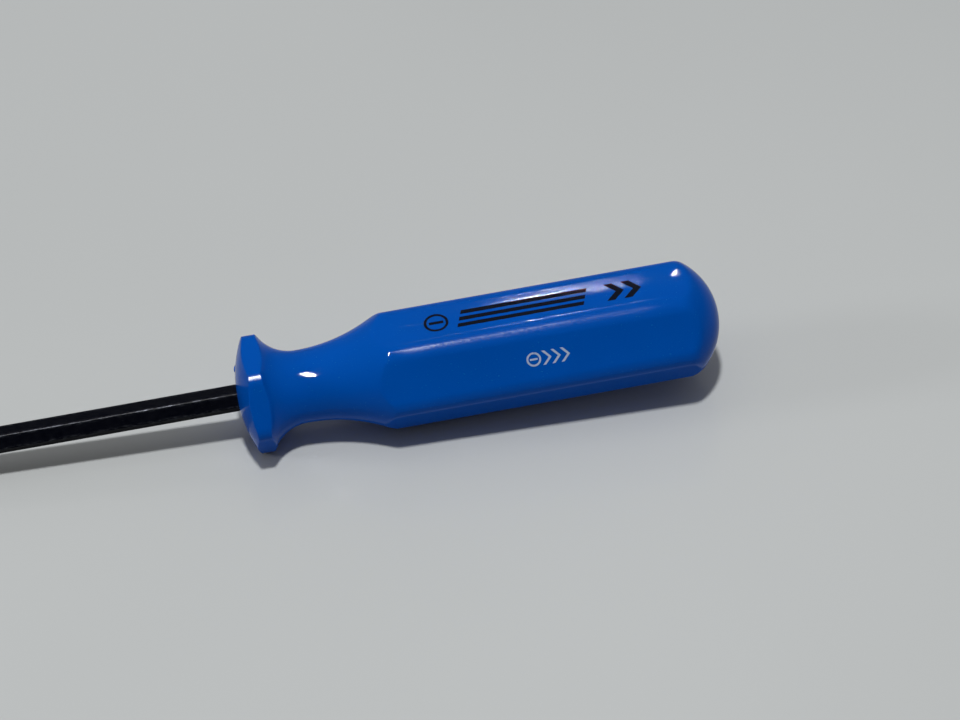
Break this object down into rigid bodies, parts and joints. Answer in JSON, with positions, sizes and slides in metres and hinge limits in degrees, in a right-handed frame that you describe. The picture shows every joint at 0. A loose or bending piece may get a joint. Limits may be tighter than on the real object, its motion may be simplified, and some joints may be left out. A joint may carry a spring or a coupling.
{
  "type": "slotted screwdriver",
  "caption": "Slotted screwdriver with a long black hexagonal steel blade and a moulded hexagonal plastic handle with a guard, a round neck and a domed butt.",
  "frame": {"origin": "centre of the blade tip's flat end face, on the tool's axis", "axes": "+X along the tool from the tip to the butt, +Z out of the handle's upper flat, so that -Z is the flat it rests on and the tip lies flat in the XY plane"},
  "size_m": [0.381, 0.0316, 0.0286],
  "materials": {
    "black_oxide_steel": "satin",
    "blue_plastic": "gloss",
    "black_print": "satin",
    "pale_print": "satin"
  },
  "bodies": {
    "root": {"blade": "black_oxide_steel", "handle": "blue_plastic"}
  },
  "joints": []
}
